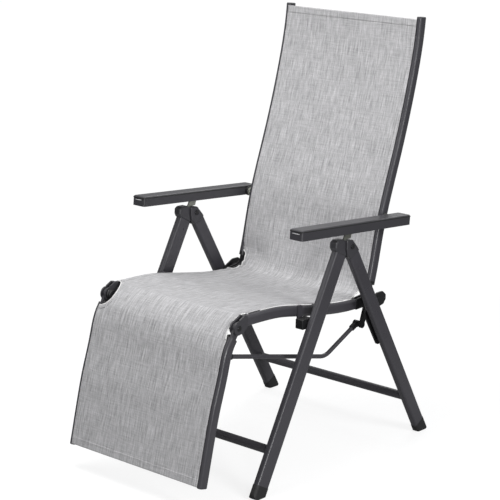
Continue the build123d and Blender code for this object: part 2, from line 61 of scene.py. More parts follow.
# ---------------------------------------------------------------- curves
def spline(points, count):
    """Natural cubic spline through the points by chord length, and its unit tangents."""
    p = np.array(points, float)
    t = np.concatenate([[0], np.cumsum(np.linalg.norm(np.diff(p, axis=0), axis=1))])
    n, h = len(p), np.diff(t)
    a = np.eye(n)
    b = np.zeros_like(p)
    for i in range(1, n - 1):
        a[i, i - 1:i + 2] = h[i - 1], 2 * (h[i - 1] + h[i]), h[i]
        b[i] = 6 * ((p[i + 1] - p[i]) / h[i] - (p[i] - p[i - 1]) / h[i - 1])
    m = np.linalg.solve(a, b)
    q = np.linspace(0, t[-1], count)
    k = np.clip(np.searchsorted(t, q, side="right") - 1, 0, n - 2)
    w, x = h[k][:, None], (q - t[k])[:, None]
    c = (p[k + 1] - p[k]) / w - w * (2 * m[k] + m[k + 1]) / 6
    d = (m[k + 1] - m[k]) / w
    value = p[k] + x * (c + x * (m[k] / 2 + x * d / 6))
    slope = c + x * (m[k] + x * d / 2)
    return value, slope / np.linalg.norm(slope, axis=1)[:, None]


def bridge(a, ta, b, tb, reach, count):
    """Cubic Bezier curve from a to b that leaves along ta and arrives along tb."""
    t = np.linspace(0, 1, count)[1:-1, None]
    p1, p2 = a + ta * reach, b - tb * reach
    return (1 - t) ** 3 * a + 3 * t * (1 - t) ** 2 * p1 + 3 * t * t * (1 - t) * p2 + t ** 3 * b


def raised(points, count, lift):
    value, slope = spline(points, count)
    return value + lift * np.stack([-slope[:, 1], slope[:, 0]], axis=1), slope


FOOT_COUNT, SEAT_COUNT, BACK_COUNT, TURN_COUNT = 120, 160, 220, 40
KNEE_REACH, HINGE_REACH = 0.016, 0.036
foot_line, foot_way = raised(FOOTREST, FOOT_COUNT, LIFT)
seat_line, seat_way = raised(SEAT, SEAT_COUNT, LIFT)
back_line, back_way = raised(BACK, BACK_COUNT, LIFT)
knee_turn = bridge(foot_line[-1], foot_way[-1], seat_line[0], seat_way[0], KNEE_REACH, TURN_COUNT)
hinge_turn = bridge(seat_line[-1], seat_way[-1], back_line[0], back_way[0], HINGE_REACH, TURN_COUNT)
LINE = np.concatenate([foot_line, knee_turn, seat_line, hinge_turn, back_line])
ARC = np.concatenate([[0], np.cumsum(np.linalg.norm(np.diff(LINE, axis=0), axis=1))])
TOTAL = ARC[-1]
seat_first = FOOT_COUNT + len(knee_turn)
S_KNEE = ARC[FOOT_COUNT + TURN_COUNT // 2]
S_HINGE = ARC[seat_first + SEAT_COUNT + len(hinge_turn) // 2]
S_SEAT = (ARC[seat_first], ARC[seat_first + SEAT_COUNT - 1])
S_MIDDLE = (S_SEAT[0] + S_SEAT[1]) / 2
WAY = np.gradient(LINE, ARC, axis=0)
WAY /= np.linalg.norm(WAY, axis=1)[:, None]

# A cut in the cloth's edge: its middle and reach along the cloth, and its depth at the left and right
KNEE_CUT = (S_KNEE, 0.044, (0.032, 0.0100))
HINGE_CUT = (S_HINGE, 0.044, (0.016, 0.014))
CUT_SHAPE = (0.42, 0.95)     # how full the cuts are at the left and right: a half ellipse is 0.5
POCKET = 0.0125              # seam of the pocket that holds the edge cord, from the cloth's edge


def half_width(s, side):
    """Half width of the cloth on one side: its full half width less a rounded cut at each hinge."""
    w = np.full_like(s, HALF)
    for middle, reach, depths in (KNEE_CUT, HINGE_CUT):
        q = np.clip(1 - ((s - middle) / reach) ** 2, 0, 1)
        w = w - depths[side > 0] * q ** CUT_SHAPE[side > 0]
    return w


def bell(s, middle, reach):
    return np.exp(-((s - middle) / reach) ** 2)


def cloth_point(x, s, lift=0.0):
    """The cloth's surface: the side curve at arc s, sunk between the rails by a parabola in x.

    Sine waves held in Gaussian bells add folds at the hinge corners and fine tension lines under the knee.
    One bell adds a dent by the left hinge, and a logistic step the pocket's edge. The sum moves the point
    along the curve's normal."""
    x, s = np.broadcast_arrays(np.asarray(x, float), np.asarray(s, float))
    y = np.interp(s, ARC, LINE[:, 0])
    z = np.interp(s, ARC, LINE[:, 1])
    dy = np.interp(s, ARC, WAY[:, 0])
    dz = np.interp(s, ARC, WAY[:, 1])
    n = np.hypot(dy, dz)
    u = np.clip(np.abs(x) / HALF, 0, 1)
    seat = np.clip((s - S_KNEE) / 0.12, 0, 1) * np.clip((S_HINGE - s) / 0.12, 0, 1)
    back = np.clip((s - S_HINGE) / 0.15, 0, 1) * np.clip((TOTAL - s) / 0.2, 0, 1)
    foot = np.clip((S_KNEE - s) / 0.12, 0, 1) * np.clip(s / 0.15, 0, 1)
    sag = (0.009 * seat + 0.006 * back + 0.003 * foot) * (1 - u ** 2)
    corner = np.clip((u - 0.62) / 0.38, 0, 1) ** 1.5
    fan = np.sin((s - S_HINGE) * 330 + u * 26) * bell(s, S_HINGE + 0.006, 0.026)
    pull = np.sin((s - S_HINGE) * 190 - u * 22) * bell(s, S_HINGE - 0.03, 0.05)
    folds = corner * ((0.0014 + 0.0018 * (x < 0)) * fan + 0.0012 * pull)
    dent = -0.010 * bell(s, S_HINGE + 0.045, 0.03) * bell(x, -0.19, 0.05)
    creep = 0.0007 * np.sin(x * 520 + 1.7 * np.sin(x * 61)) * bell(s, S_KNEE - 0.055, 0.05) * (1 - u ** 6)
    soft = 0.0009 * np.sin(s * 23 + 2.2 * np.sin(x * 11)) * seat * (1 - u ** 4)
    ripple = 0.0005 * np.sin(x * 230 + 2 * np.sin(s * 17)) * bell(s, S_KNEE - 0.10, 0.12) * (1 - u ** 4)
    open_edge = np.exp(-((s - S_KNEE) / 0.055) ** 8) + np.exp(-((s - S_HINGE) / 0.058) ** 8)
    pocket = 0.0006 / (1 + np.exp((HALF - POCKET - np.abs(x)) / 0.0007)) * (1 - np.clip(open_edge, 0, 1))
    h = lift - sag + dent + folds + creep + soft + ripple + pocket
    return np.stack([x, y - dz / n * h, z + dy / n * h], axis=-1)


# ---------------------------------------------------------------- meshes
def add_mesh(name, points, faces, uv=None, smooth=True):
    mesh = bpy.data.meshes.new(name)
    corners = np.asarray(points, float).reshape(-1, 3).tolist()
    mesh.from_pydata(corners, [], [list(map(int, f)) for f in faces])
    if uv is not None:
        layer = mesh.uv_layers.new(name="Cloth")
        index = np.zeros(len(mesh.loops), np.int32)
        mesh.loops.foreach_get("vertex_index", index)
        layer.data.foreach_set("uv", np.asarray(uv, np.float32).reshape(-1, 2)[index].ravel())
    mesh.polygons.foreach_set("use_smooth", np.full(len(mesh.polygons), smooth))
    mesh.update()
    obj = bpy.data.objects.new(name, mesh)
    scene.collection.objects.link(obj)
    return obj


def grid_faces(rows, columns, base=0, flip=False):
    i, j = np.meshgrid(np.arange(rows - 1), np.arange(columns - 1), indexing="ij")
    a = (base + i * columns + j).ravel()
    quad = np.stack([a, a + 1, a + columns + 1, a + columns], axis=1)
    return quad[:, ::-1] if flip else quad


def slab(name, x, s, thick, low=0.0):
    """A closed sheet over a grid of (x, s): the surface at low and at low + thick, joined along its rim."""
    rows, columns = x.shape
    top, under = cloth_point(x, s, low + thick), cloth_point(x, s, low)
    count = rows * columns
    faces = [grid_faces(rows, columns), grid_faces(rows, columns, count, True)]
    ring = np.concatenate([np.arange(columns), np.arange(1, rows) * columns + columns - 1,
                           (rows - 1) * columns + np.arange(columns - 2, -1, -1),
                           np.arange(rows - 2, 0, -1) * columns])
    after = np.roll(ring, -1)
    faces.append(np.stack([ring, ring + count, after + count, after], axis=1))
    uv = np.stack([x, s], axis=-1)
    return add_mesh(name, np.concatenate([top.reshape(-1, 3), under.reshape(-1, 3)]),
                    np.concatenate(faces), np.concatenate([uv.reshape(-1, 2)] * 2))


def tube_mesh(name, path, radius, sides=10, closed=False):
    """Round tube along a path, with frames turned as little as possible from point to point."""
    p = np.asarray(path, float)
    way = np.gradient(p, axis=0)
    if closed:
        way = np.roll(p, -1, 0) - np.roll(p, 1, 0)
    way /= np.linalg.norm(way, axis=1)[:, None]
    side = np.cross(way[0], [0.31, 0.52, 0.79])
    rings = []
    a = np.linspace(0, 2 * math.pi, sides, endpoint=False)
    for q, w in zip(p, way):
        side = side - w * (side @ w)
        side /= np.linalg.norm(side)
        rings.append(q + radius * (np.cos(a)[:, None] * side + np.sin(a)[:, None] * np.cross(w, side)))
    v = np.concatenate(rings)
    n = len(p)
    i, j = np.meshgrid(np.arange(n if closed else n - 1), np.arange(sides), indexing="ij")
    k, l = (i + 1) % n, (j + 1) % sides
    faces = np.stack([i * sides + j, i * sides + l, k * sides + l, k * sides + j], axis=-1)
    faces = faces.reshape(-1, 4).tolist()
    if not closed:
        faces += [list(range(sides))[::-1], [(n - 1) * sides + q for q in range(sides)]]
    return add_mesh(name, v, faces)


# ---------------------------------------------------------------- shaders
def group(name, inputs, outputs):
    tree = bpy.data.node_groups.new(name, "ShaderNodeTree")
    for label, kind, value in inputs:
        socket = tree.interface.new_socket(label, in_out="INPUT", socket_type=kind)
        if value is not None:
            socket.default_value = value
    for label, kind in outputs:
        tree.interface.new_socket(label, in_out="OUTPUT", socket_type=kind)
    return tree, tree.nodes.new("NodeGroupInput"), tree.nodes.new("NodeGroupOutput")


def node(tree, kind, inputs=(), **settings):
    made = tree.nodes.new(kind)
    for key, value in settings.items():
        setattr(made, key, value)
    for key, value in dict(inputs).items():
        if isinstance(value, bpy.types.NodeSocket):
            tree.links.new(value, made.inputs[key])
        else:
            made.inputs[key].default_value = value
    return made


def math_node(tree, operation, a, b=0.0):
    return node(tree, "ShaderNodeMath", {0: a, 1: b}, operation=operation).outputs[0]


def mix_color(tree, factor, a, b):
    return node(tree, "ShaderNodeMix", {0: factor, 6: a, 7: b}, data_type="RGBA").outputs[2]


def remap(tree, value, from_low, from_high, to_low, to_high, **settings):
    """A value moved from one range to another, and held at the new one's ends."""
    ends = {0: value, 1: from_low, 2: from_high, 3: to_low, 4: to_high}
    return node(tree, "ShaderNodeMapRange", ends, **settings).outputs[0]


def plain(tone):
    return (tone, tone, tone, 1)


FLOAT, VECTOR = "NodeSocketFloat", "NodeSocketVector"

# Fine grain of a sprayed or moulded surface: a normal, and a mask for colour and roughness
GRAIN, g_in, g_out = group("fine_grain",
                           [("Scale", FLOAT, 900.0), ("Depth", FLOAT, 0.00005), ("Patch", FLOAT, 9.0)],
                           [("Normal", VECTOR), ("Grain", FLOAT), ("Patches", FLOAT)])
g_at = node(GRAIN, "ShaderNodeTexCoord").outputs["Object"]
g_fine = node(GRAIN, "ShaderNodeTexNoise", {"Vector": g_at, "Scale": g_in.outputs["Scale"], "Detail": 3.0})
g_wide = node(GRAIN, "ShaderNodeTexNoise", {"Vector": g_at, "Scale": g_in.outputs["Patch"], "Detail": 4.0})
g_bump = node(GRAIN, "ShaderNodeBump", {"Strength": 1.0, "Distance": g_in.outputs["Depth"],
                                        "Height": g_fine.outputs["Fac"]})
GRAIN.links.new(g_bump.outputs["Normal"], g_out.inputs["Normal"])
GRAIN.links.new(g_fine.outputs["Fac"], g_out.inputs["Grain"])
GRAIN.links.new(g_wide.outputs["Fac"], g_out.inputs["Patches"])

# Fine dust that settles on faces that look up
DUST, d_in, d_out = group("settled_dust", [("Amount", FLOAT, 0.2)], [("Mask", FLOAT)])
d_normal = node(DUST, "ShaderNodeNewGeometry").outputs["Normal"]
d_up = node(DUST, "ShaderNodeSeparateXYZ", {0: d_normal}).outputs[2]
d_noise = node(DUST, "ShaderNodeTexNoise", {"Vector": node(DUST, "ShaderNodeTexCoord").outputs["Object"],
                                            "Scale": 60.0, "Detail": 6.0}).outputs["Fac"]
d_mask = math_node(DUST, "MULTIPLY", math_node(DUST, "MAXIMUM", d_up, 0.0), d_noise)
DUST.links.new(math_node(DUST, "MULTIPLY", d_mask, d_in.outputs["Amount"]), d_out.inputs["Mask"])

# Woven mesh: yarns across and along as sine ridges, with streaks of shade that run along the yarns
WEAVE, w_in, w_out = group("sling_weave", [("Pitch", FLOAT, 760.0)],
                           [("Shade", FLOAT), ("Height", FLOAT), ("Slub", FLOAT)])
w_uv = node(WEAVE, "ShaderNodeUVMap", uv_map="Cloth").outputs[0]
w_xy = node(WEAVE, "ShaderNodeSeparateXYZ", {0: w_uv})
YARN, LEAN = 0.75, 0.25      # mean height of a yarn, and how far it rises or dips at a crossing


def weave_math(operation, a, b=0.0):
    return math_node(WEAVE, operation, a, b)


def weave_wave(axis):
    """The sine ridges of the yarns that lie side by side along one axis of the cloth."""
    at = weave_math("MULTIPLY", w_xy.outputs[axis], w_in.outputs["Pitch"])
    return weave_math("SINE", weave_math("MULTIPLY", at, math.pi))


def streaks(scale_u, scale_v, detail):
    """Noise on the cloth, drawn out along one axis by unequal scales."""
    u = weave_math("MULTIPLY", w_xy.outputs[0], scale_u)
    v = weave_math("MULTIPLY", w_xy.outputs[1], scale_v)
    at = node(WEAVE, "ShaderNodeCombineXYZ", {0: u, 1: v}).outputs[0]
    return node(WEAVE, "ShaderNodeTexNoise", {"Vector": at, "Scale": 1.0, "Detail": detail}).outputs["Fac"]


w_su, w_sv = weave_wave(0), weave_wave(1)
w_over = weave_math("MULTIPLY", weave_math("MULTIPLY", w_su, w_sv), LEAN)
w_warp = weave_math("MULTIPLY", weave_math("ABSOLUTE", w_su), weave_math("ADD", YARN, w_over))
w_weft = weave_math("MULTIPLY", weave_math("ABSOLUTE", w_sv), weave_math("SUBTRACT", YARN, w_over))

# Streak scales across and along the cloth, noise detail, and share of the shade
STREAKS = [(260.0, 15.0, 2.5, 0.36), (15.0, 300.0, 2.5, 0.16), (560.0, 34.0, 2.0, 0.34),
           (34.0, 620.0, 2.0, 0.14)]
w_sum = 0.0
for scale_u, scale_v, detail, share in STREAKS:
    w_sum = weave_math("ADD", weave_math("MULTIPLY", streaks(scale_u, scale_v, detail), share), w_sum)
WEAVE.links.new(w_sum, w_out.inputs["Shade"])
WEAVE.links.new(weave_math("MAXIMUM", w_warp, w_weft), w_out.inputs["Height"])
WEAVE.links.new(streaks(9.0, 9.0, 4.0), w_out.inputs["Slub"])


def material(name):
    made = bpy.data.materials.new(name)
    made.use_nodes = True
    tree = made.node_tree
    return made, tree, tree.nodes["Principled BSDF"]


DUST_TONE = (0.42, 0.40, 0.37, 1)
SPECK_LIFT = 1.7        # how much lighter the brightest grains are than the light shade


def coat(name, dark, light, rough, depth, scale, metallic=0.0, dust=0.12, patch=9.0):
    """Paint or plastic: two near shades by patches, grain in the normal and the gloss, and a little dust."""
    made, tree, out = material(name)
    grain = node(tree, "ShaderNodeGroup", {}, node_tree=GRAIN)
    grain.inputs["Scale"].default_value = scale
    grain.inputs["Depth"].default_value = depth
    grain.inputs["Patch"].default_value = patch
    dusty = node(tree, "ShaderNodeGroup", {}, node_tree=DUST)
    dusty.inputs["Amount"].default_value = dust
    base = mix_color(tree, grain.outputs["Patches"], (*dark, 1), (*light, 1))
    speck = remap(tree, grain.outputs["Grain"], 0.62, 0.8, 0.0, 0.35)
    base = mix_color(tree, speck, base, (*[min(1, c * SPECK_LIFT) for c in light], 1))
    base = mix_color(tree, dusty.outputs["Mask"], base, DUST_TONE)
    tree.links.new(base, out.inputs["Base Color"])
    gloss = remap(tree, grain.outputs["Patches"], 0.3, 0.7, rough - 0.04, rough + 0.05)
    tree.links.new(gloss, out.inputs["Roughness"])
    tree.links.new(grain.outputs["Normal"], out.inputs["Normal"])
    out.inputs["Metallic"].default_value = metallic
    return made


FRAME = coat("frame_powder_coat", (0.041, 0.0395, 0.046), (0.053, 0.051, 0.059), 0.29, 0.00003, 1500.0,
             dust=0.05)
GREY = coat("grey_moulded", (0.035, 0.034, 0.039), (0.045, 0.044, 0.050), 0.36, 0.00005, 1100.0, dust=0.06)
BLACK = coat("black_moulded", (0.007, 0.007, 0.008), (0.012, 0.012, 0.013), 0.38, 0.00005, 1000.0,
             dust=0.05)
RUBBER = coat("foot_rubber", (0.010, 0.010, 0.011), (0.016, 0.016, 0.017), 0.66, 0.00012, 700.0, dust=0.15)
CROWN = coat("arm_crown", (0.034, 0.033, 0.038), (0.045, 0.044, 0.050), 0.33, 0.00006, 800.0, dust=0.05)
ZINC = coat("zinc_plate", (0.30, 0.31, 0.27), (0.40, 0.41, 0.36), 0.34, 0.00003, 600.0,
            metallic=0.85, patch=40.0)
STEEL = coat("black_steel", (0.020, 0.020, 0.022), (0.030, 0.030, 0.033), 0.28, 0.00002, 900.0,
             metallic=0.4, dust=0.05)
# Near black for painted shade: the screw sockets' hollows and the groove under each arm's cover
PAINTED_SHADE = coat("painted_recess_shade", (0.006, 0.006, 0.006), (0.009, 0.009, 0.009), 0.7, 0.00003, 900.0, dust=0.0)
SOFT_THREAD = coat("seam_thread", (0.36, 0.36, 0.36), (0.44, 0.44, 0.44), 0.7, 0.00006, 2500.0, dust=0.0)
TOP_THREAD = coat("top_hem_thread", (0.46, 0.46, 0.46), (0.54, 0.54, 0.54), 0.7, 0.00006, 2500.0, dust=0.0)
# A darker copy of the hem thread for the foot's end, painted shade against the light its threads catch there
FOOT_THREAD_SHADED = coat("foot_hem_thread_painted_shade", (0.27, 0.27, 0.27), (0.33, 0.33, 0.33), 0.7, 0.00006, 2500.0,
                   dust=0.0)
THREAD = coat("stitch_thread", (0.46, 0.46, 0.455), (0.56, 0.56, 0.55), 0.7, 0.00006, 2500.0, dust=0.0)


YARN_TONES = (0.50, 1.32, 0.72, 0.30)      # dark yarn, light yarn, slub, and painted shade in the gaps between yarns, as shares of the tint
CLOTH_TINT = (0.535, 0.53, 0.54)


def cloth_material(name, tint, shade):
    """Woven cloth: yarns of a range of shades, darker slubs, painted shade in the gaps between yarns, and the
    yarns' height in the normal.
    """
    made, tree, out = material(name)
    weave = node(tree, "ShaderNodeGroup", {}, node_tree=WEAVE)
    base = node(tree, "ShaderNodeValToRGB", {0: weave.outputs["Shade"]})
    ramp = base.color_ramp
    ramp.elements[0].position, ramp.elements[1].position = 0.37, 0.63
    dark_yarn, light_yarn, slub, painted_gap_shade = [(*[c * k * shade for c in tint], 1) for k in YARN_TONES]
    ramp.elements[0].color, ramp.elements[1].color = dark_yarn, light_yarn
    patchy = remap(tree, weave.outputs["Slub"], 0.3, 0.7, 0.0, 0.08)
    patch = mix_color(tree, patchy, base.outputs[0], slub)
    # Painted shade: darker where the yarns lie low, in the gaps between them
    gap_shade_mask = remap(tree, weave.outputs["Height"], 0.2, 0.8, 0.55, 0.0)
    color = mix_color(tree, gap_shade_mask, patch, painted_gap_shade)
    tree.links.new(color, out.inputs["Base Color"])
    out.inputs["Roughness"].default_value = 0.62
    out.inputs["Sheen Weight"].default_value = 0.08
    height = weave.outputs["Height"]
    bump = node(tree, "ShaderNodeBump", {"Strength": 0.6, "Distance": 0.0003, "Height": height})
    tree.links.new(bump.outputs[0], out.inputs["Normal"])
    return made


CLOTH = cloth_material("sling_cloth", CLOTH_TINT, 1.0)
HEM = cloth_material("sling_hem", CLOTH_TINT, 0.95)
# Light grey for a painted highlight on each arm's front end
SLIT_HIGHLIGHT = coat("painted_highlight_slit", (0.72, 0.72, 0.72), (0.86, 0.86, 0.86), 0.3, 0.00002, 900.0, dust=0.0)
# Near white cord along the cuts' edges, a painted highlight on the hem's fold
PIPING_HIGHLIGHT = coat("hem_piping_painted_highlight", (0.70, 0.70, 0.69), (0.84, 0.83, 0.82), 0.55, 0.0001, 1500.0, dust=0.0)

LOOKS = {
    FRAME: ["front_leg_left", "front_leg_right", "rear_leg_left", "rear_leg_right", "front_cross_tube",
            "rear_cross_tube", "seat_rail_left", "seat_rail_right", "seat_cross_front", "seat_cross_rear",
            "back_rail_left", "back_rail_right", "back_cross_low", "back_cross_top", "footrest_rail_left",
            "footrest_rail_right", "footrest_cross", "rod_left", "rod_right", "seat_brackets"],
    GREY: ["leg_top_front", "leg_top_rear", "back_caps", "footrest_caps", "seat_front_fittings",
           "footrest_lugs", "arm_left", "arm_right"],
    CROWN: ["arm_crown_left", "arm_crown_right"],
    BLACK: ["seat_rear_fittings", "back_cranks", "footrest_ears", "hinge_plates", "seat_rest_blocks",
            "rod_heads", "arm_hinge_blocks", "seat_hinge_sleeves", "plate_spacers", "arm_rack_left",
            "arm_rack_right"],
    RUBBER: ["front_feet", "rear_feet"],
    STEEL: ["leg_joint_bolts", "knee_pins", "seat_hinge_pins", "plate_bolts", "seat_rest_bolts",
            "rod_pins_front", "rod_pins_rear"],
    ZINC: ["latch_plates", "latch_pins", "arm_pins"],
    CLOTH: ["seat_sling", "back_sling", "footrest_sling"],
}
for look, names in LOOKS.items():
    for name in names:
        if name in nodes:
            slots = nodes[name].material_slots
            if not slots:
                nodes[name].data.materials.append(look)
            for index in range(len(slots)):
                nodes[name].material_slots[index].material = look


def dress(obj, look):
    obj.data.materials.append(look)
    return obj


# The two bodies of each sling, and the start and end of the blend between them
KNEE_BLEND = ("footrest", "frame", (0, -0.361, 0.430), (0, -0.297, 0.484))
HINGE_BLEND = ("frame", "back", (0, 0.176, 0.437), (0, 0.224, 0.486))

# ---------------------------------------------------------------- the sling
THICK = 0.0011
SIDES = ((-1, "left"), (1, "right"))


def columns(count=101):
    """Places across the cloth from -1 to 1, closer at its edges and at the pocket's seam."""
    t = np.linspace(-1, 1, count)
    even = np.sign(t) * (1 - (1 - np.abs(t)) ** 1.35)
    seam = 1 - POCKET / HALF + np.array([-0.012, -0.008, -0.004, 0, 0.004, 0.008, 0.012])
    return np.unique(np.concatenate([even, seam, -seam]))


def rows(start, end, step=0.0042):
    """Places along the cloth, closer at the ends of each cut."""
    s = np.linspace(start, end, int((end - start) / step) + 1)
    near_end = np.array([0.0, 0.004, 0.015, 0.035, 0.065, 0.1, 0.15])
    extra = []
    for middle, reach, _ in (KNEE_CUT, HINGE_CUT):
        for way in (-1, 1):
            extra += list(middle + way * reach * (1 - near_end))
    extra = [e for e in extra if start < e < end]
    return np.unique(np.concatenate([s, extra]))


def sling(name, start, end, stands_for):
    s = rows(start, end)
    u = columns()
    wide = [half_width(s, -1)[:, None], half_width(s, 1)[:, None]]
    x = u[None, :] * np.where(u[None, :] < 0, wide[0], wide[1])
    grid = np.repeat(s[:, None], len(u), axis=1)
    piece = dress(slab(name, x, grid, THICK), CLOTH)
    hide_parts(*stands_for)
    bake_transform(piece)


END_GAP = 0.001         # the cloth stops this far inside the rails' ends
sling("sling_front", END_GAP, S_MIDDLE, ["footrest_sling", "seat_sling"])
sling("sling_rear", S_MIDDLE, TOTAL - END_GAP, ["back_sling"])


def edge_line(cut, inset, side, count=90):
    """(x, s) pairs along a cut's edge, moved inwards over the cloth by inset, square to the edge."""
    middle, reach = cut[:2]
    a = np.linspace(-math.pi / 2, math.pi / 2, count)
    s = middle + reach * np.sin(a) * 0.9995
    x = half_width(s, side)
    ds, dx = np.gradient(s), np.gradient(x)
    n = np.hypot(ds, dx)
    return x - inset * ds / n, s + inset * dx / n


HEM_THICK, HEM_GAP = 0.0008, 0.0001


def hem_strip(name, inner, outer, side):
    """A band of doubled cloth between two (x, s) lines on the sling's surface."""
    t = np.linspace(0, 1, 9)[None, :]
    x = side * (inner[0][:, None] * (1 - t) + outer[0][:, None] * t)
    s = inner[1][:, None] * (1 - t) + outer[1][:, None] * t
    if side < 0:
        x, s = x[:, ::-1], s[:, ::-1]
    band = slab(name, x[:, ::-1], s[:, ::-1], HEM_THICK, THICK + HEM_GAP)
    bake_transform(dress(band, HEM))


def stitch_row(name, x, s, pitch=0.0036, long=0.0024, wide=0.0007, rise=0.0006,
               base=THICK + HEM_GAP + HEM_THICK, thread=THREAD):
    """Short threads along an (x, s) line: each is a low ridge of twelve corners on the sling's surface."""
    way = np.concatenate([[0], np.cumsum(np.hypot(np.diff(x), np.diff(s)))])
    at = np.arange(pitch / 2, way[-1], pitch)
    points, faces = [], []
    for k, c in enumerate(at):
        q = np.array([c - long / 2, c - long / 4, c + long / 4, c + long / 2])
        qx, qs = np.interp(q, way, x), np.interp(q, way, s)
        dx, ds = qx[-1] - qx[0], qs[-1] - qs[0]
        n = math.hypot(dx, ds)
        ox, os_ = -ds / n * wide / 2, dx / n * wide / 2
        for i, (a, b) in enumerate(zip(qx, qs)):
            top = rise if i in (1, 2) else rise * 0.25
            slim = 1.0 if i in (1, 2) else 0.45
            points += [cloth_point(a + ox * slim, b + os_ * slim, base), cloth_point(a, b, base + top),
                       cloth_point(a - ox * slim, b - os_ * slim, base)]
        m = 12 * k
        for i in range(3):
            r = m + 3 * i
            faces += [[r, r + 3, r + 4, r + 1], [r + 1, r + 4, r + 5, r + 2], [r, r + 2, r + 5, r + 3]]
        faces += [[m, m + 1, m + 2], [m + 9, m + 11, m + 10]]
    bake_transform(dress(add_mesh(name, np.array(points), faces), thread))


HEM_FROM, HEM_TO, HEM_SEAMS = 0.0002, 0.011, (0.0035, 0.0085)      # from a cut's edge
PIPE_IN, PIPE_UP, PIPE_RADIUS = 0.0008, 0.0005, 0.0015
for cut, bending, label in ((KNEE_CUT, KNEE_BLEND, "knee"), (HINGE_CUT, HINGE_BLEND, "hinge")):
    for side, word in SIDES:
        inner, outer = edge_line(cut, HEM_FROM, side), edge_line(cut, HEM_TO, side)
        hem_strip(f"hem_{label}_{word}", inner, outer, side)
        for number, inset in enumerate(HEM_SEAMS):
            x, s = edge_line(cut, inset, side)
            stitch_row(f"stitch_{label}_{word}_{number + 1}", side * x, s)
        # Piping along the cut's edge, far lighter than the cloth: a painted highlight on the fold
        x, s = edge_line(cut, PIPE_IN, side, 70)
        pipe = tube_mesh(f"piping_{label}_{word}", cloth_point(side * x, s, THICK + PIPE_UP), PIPE_RADIUS, 8)
        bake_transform(dress(pipe, PIPING_HIGHLIGHT))

# The turned-over ends at the foot and the top, almost flush with the sling, each with two rows of stitches;
# the foot's thread is a darker copy, painted shade
END_FROM, END_TO, END_SEAMS = 0.0015, 0.021, (0.74, 0.90)
END_THICK, END_SINK, END_UP = 0.0004, 0.00036, 0.0001
ENDS = [("foot", END_FROM, END_TO, KNEE_BLEND, FOOT_THREAD_SHADED),
        ("top", TOTAL - END_FROM, TOTAL - END_TO, HINGE_BLEND, TOP_THREAD)]
for label, start, end, bending, thread in ENDS:
    s = np.linspace(min(start, end), max(start, end), 9)[:, None]
    x = np.linspace(-HALF + 0.0005, HALF - 0.0005, 90)[None, :]
    x, s = np.broadcast_arrays(x, s)
    fold = slab(f"hem_{label}", x, s, END_THICK, THICK - END_SINK)
    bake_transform(dress(fold, CLOTH))
    across = np.linspace(-HALF + 0.003, HALF - 0.003, 200)
    for number, share in enumerate(END_SEAMS):
        line = np.full(200, start + (end - start) * share)
        stitch_row(f"stitch_{label}_{number + 1}", across, line, base=THICK + END_UP, thread=thread,
                   rise=0.0003, wide=0.0006)

# The pockets' seams along the rails, left out at the cuts
for label, start, end, bending in (("foot", 0.024, S_KNEE - 0.052, KNEE_BLEND),
                                   ("seat_front", S_KNEE + 0.052, S_MIDDLE - 0.002, KNEE_BLEND),
                                   ("seat_rear", S_MIDDLE + 0.002, S_HINGE - 0.055, HINGE_BLEND),
                                   ("back", S_HINGE + 0.055, TOTAL - 0.024, HINGE_BLEND)):
    for side, word in SIDES:
        line = np.arange(start, end, 0.004)
        stitch_row(f"stitch_pocket_{label}_{word}", np.full(len(line), side * (HALF - POCKET)), line,
                   base=THICK + 0.0002, thread=SOFT_THREAD)

# ---------------------------------------------------------------- small parts on the frame


def around(count):
    return np.linspace(0, 2 * math.pi, count, endpoint=False)


def weld(name, centre, radius, body, facing, bead=0.0016, steps=72, sides=10):
    """A ring of weld round a cross tube's end: a torus whose thickness ripples with two sine waves."""
    a, b = np.meshgrid(around(steps), around(sides), indexing="ij")
    r = bead * (1 + 0.16 * np.sin(a * 19) + 0.07 * np.sin(a * 7 + 1))
    big = radius + 0.0004 + r * np.cos(b)
    points = np.stack([centre[0] - facing * (0.0006 + r * np.sin(b) * 0.8), centre[1] + big * np.cos(a),
                       centre[2] + big * np.sin(a)], axis=-1)
    i, j = np.meshgrid(np.arange(steps), np.arange(sides), indexing="ij")
    k, l = (i + 1) % steps, (j + 1) % sides
    faces = np.stack([i * sides + j, k * sides + j, k * sides + l, i * sides + l], axis=-1).reshape(-1, 4)
    if facing > 0:
        faces = faces[:, ::-1]
    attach(dress(add_mesh(name, points, faces), FRAME), body)


LEG_BAR, RAIL_BAR = (0.012, 0.270), (0.008, 0.2227)      # a cross tube's radius, and the x of its welds
WELDS = [("front_bar", -0.2289, 0.114, LEG_BAR, "frame"), ("rear_bar", 0.3687, 0.1146, LEG_BAR, "frame"),
         ("seat_front_bar", -0.1985, 0.464, RAIL_BAR, "frame"),
         ("seat_rear_bar", 0.1035, 0.4215, RAIL_BAR, "frame"),
         ("back_low_bar", 0.254, 0.547, RAIL_BAR, "back"), ("back_top_bar", 0.4225, 1.161, RAIL_BAR, "back"),
         ("foot_bar", -0.4375, 0.107, RAIL_BAR, "footrest")]
for label, y, z, (radius, x), body in WELDS:
    for side, word in SIDES:
        weld(f"weld_{label}_{word}", (side * x, y, z), radius, body, side)


def hex_recess_shade(name, centre, facing, across, body):
    """A socket screw's recess drawn as painted shade: a dark hexagon and its bevelled rim, just proud of the
    head's face.
    """
    a = np.radians(np.arange(6) * 60 + 30)
    points = []
    for radius, out in ((across, 0.00006), (across * 0.86, 0.00010)):
        for angle in a:
            points.append([centre[0] + facing * out, centre[1] + radius * math.cos(angle),
                           centre[2] + radius * math.sin(angle)])
    faces = [[i, (i + 1) % 6, 6 + (i + 1) % 6, 6 + i] for i in range(6)] + [[6 + i for i in range(6)]]
    if facing < 0:
        faces = [f[::-1] for f in faces]
    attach(dress(add_mesh(name, points, faces, smooth=False), PAINTED_SHADE), body)


